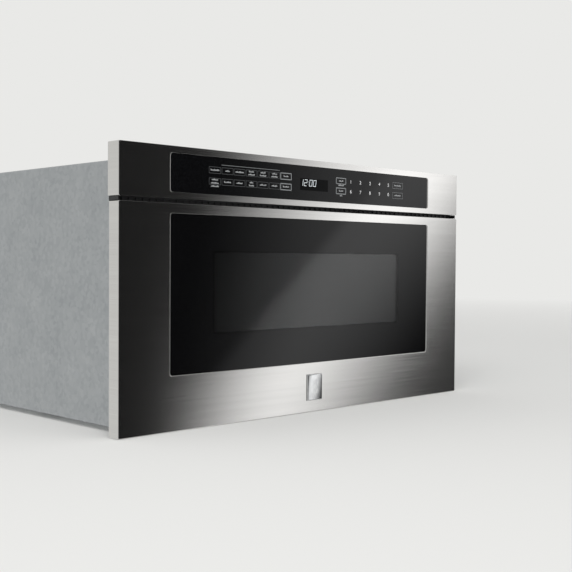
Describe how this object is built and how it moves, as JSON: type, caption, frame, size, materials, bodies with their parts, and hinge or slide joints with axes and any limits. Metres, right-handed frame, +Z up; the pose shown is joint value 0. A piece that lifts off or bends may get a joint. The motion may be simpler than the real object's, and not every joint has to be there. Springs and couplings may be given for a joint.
{
  "type": "microwave drawer",
  "caption": "Built-in microwave drawer: brushed steel front with a dark window and touch panel, a tub on ball slides, a rack and pinion drive, oven cavity and chassis.",
  "frame": {"origin": "middle of the underside of the chassis floor, which stands on the floor of the cabinet cut-out", "axes": "+X to the right as seen from the front, +Y to the back, +Z up; the drawer opens towards -Y"},
  "size_m": [0.759, 0.6209, 0.402],
  "materials": {
    "brushed_front": "brushed along the width",
    "zinc_steel": "galvanised sheet",
    "black_paint": "satin",
    "grey_enamel": "satin",
    "black_glass": "polished, opaque black",
    "glass_ceramic": "polished",
    "polished_metal": "polished",
    "mica_sheet": "matt",
    "board_green": "solder resist",
    "black_plastic": "fine grain",
    "white_plastic": "satin",
    "iron_core": "varnished laminations",
    "light_alloy": "mill finish",
    "bush_rubber": "matt"
  },
  "bodies": {
    "chassis": {"base_pan": "zinc_steel", "outer_wrap": "zinc_steel", "back_panel": "zinc_steel", "cord_inlet": "bush_rubber", "front_frame": "black_paint", "cavity_shell": "grey_enamel", "lamp_housing": "zinc_steel", "waveguide": "zinc_steel", "stirrer_cover": "mica_sheet", "stirrer_motor": "zinc_steel", "magnetron": "light_alloy", "fan_shroud": "black_plastic", "fan_motor": "iron_core", "hv_transformer": "iron_core", "hv_capacitor": "light_alloy", "power_board": "board_green", "filter_board": "board_green", "control_fascia": "brushed_front", "control_glass": "black_glass", "control_carrier": "black_plastic", "touch_board": "board_green", "display_module": "black_plastic", "gearbox": "white_plastic", "gear_motor": "zinc_steel", "switch_bracket_right": "zinc_steel", "switch_bracket_left": "zinc_steel", "interlock_switch_right": "black_plastic", "interlock_switch_left": "black_plastic", "rail_bracket_right": "zinc_steel", "rail_bracket_left": "zinc_steel", "rail_outer_right": "zinc_steel", "rail_outer_left": "zinc_steel"},
    "drawer": {"drawer_face": "brushed_front", "window_glass": "black_glass", "window_screen": "black_paint", "door_frame": "black_paint", "inner_window": "black_glass", "choke_cover": "black_plastic", "badge_blank": "polished_metal", "drawer_tub": "grey_enamel", "ceramic_plate": "glass_ceramic", "drawer_arm_right": "zinc_steel", "drawer_arm_left": "zinc_steel", "drive_rack": "white_plastic", "latch_hook_right": "white_plastic", "latch_hook_left": "white_plastic", "rail_inner_right": "zinc_steel", "rail_inner_left": "zinc_steel"},
    "middle_rail_right": {"rail_middle_right": "zinc_steel"},
    "middle_rail_left": {"rail_middle_left": "zinc_steel"},
    "outer_cage_right": {"ball_cage_outer_right": "polished_metal"},
    "outer_cage_left": {"ball_cage_outer_left": "polished_metal"},
    "inner_cage_right": {"ball_cage_inner_right": "polished_metal"},
    "inner_cage_left": {"ball_cage_inner_left": "polished_metal"},
    "pinion": {"drive_pinion": "white_plastic"},
    "stirrer": {"stirrer_fan": "light_alloy"},
    "fan": {"fan_blade": "black_plastic"},
    "plunger_right": {"switch_plunger_right": "white_plastic"},
    "plunger_left": {"switch_plunger_left": "white_plastic"}
  },
  "joints": [
    {"name": "drawer_slide", "type": "slide", "parent": "chassis", "child": "drawer", "axis": [0, -1, 0], "range_m": [0, 0.38]},
    {"name": "middle_slide_right", "type": "slide", "parent": "chassis", "child": "middle_rail_right", "axis": [0, -1, 0], "range_m": [0, 0.19]},
    {"name": "middle_slide_left", "type": "slide", "parent": "chassis", "child": "middle_rail_left", "axis": [0, -1, 0], "range_m": [0, 0.19]},
    {"name": "outer_cage_slide_right", "type": "slide", "parent": "chassis", "child": "outer_cage_right", "axis": [0, -1, 0], "range_m": [0, 0.095]},
    {"name": "outer_cage_slide_left", "type": "slide", "parent": "chassis", "child": "outer_cage_left", "axis": [0, -1, 0], "range_m": [0, 0.095]},
    {"name": "inner_cage_slide_right", "type": "slide", "parent": "chassis", "child": "inner_cage_right", "axis": [0, -1, 0], "range_m": [0, 0.285]},
    {"name": "inner_cage_slide_left", "type": "slide", "parent": "chassis", "child": "inner_cage_left", "axis": [0, -1, 0], "range_m": [0, 0.285]},
    {"name": "pinion_spin", "type": "hinge", "parent": "chassis", "child": "pinion", "pos_m": [0.26445, -0.2525, 0.023], "axis": [1, 0, 0], "range_deg": [-5, 1220]},
    {"name": "stirrer_spin", "type": "hinge", "parent": "chassis", "child": "stirrer", "pos_m": [0, -0.0785, 0.2913], "axis": [0, 0, 1], "continuous": true},
    {"name": "fan_spin", "type": "hinge", "parent": "chassis", "child": "fan", "pos_m": [0.062, 0.216, 0.2492], "axis": [1, 0, 0], "continuous": true},
    {"name": "plunger_press_right", "type": "slide", "parent": "chassis", "child": "plunger_right", "axis": [0, 1, 0], "range_m": [0, 0.002], "stiffness_N_per_m": 400, "springref_m": -0.001},
    {"name": "plunger_press_left", "type": "slide", "parent": "chassis", "child": "plunger_left", "axis": [0, 1, 0], "range_m": [0, 0.002], "stiffness_N_per_m": 400, "springref_m": -0.001}
  ],
  "couplings": [
    {"joint": "middle_slide_right", "follows": "drawer_slide", "ratio": 0.5},
    {"joint": "middle_slide_left", "follows": "drawer_slide", "ratio": 0.5},
    {"joint": "outer_cage_slide_right", "follows": "drawer_slide", "ratio": 0.25},
    {"joint": "outer_cage_slide_left", "follows": "drawer_slide", "ratio": 0.25},
    {"joint": "inner_cage_slide_right", "follows": "drawer_slide", "ratio": 0.75},
    {"joint": "inner_cage_slide_left", "follows": "drawer_slide", "ratio": 0.75},
    {"joint": "pinion_spin", "follows": "drawer_slide", "rad_per_m": 55.556}
  ]
}
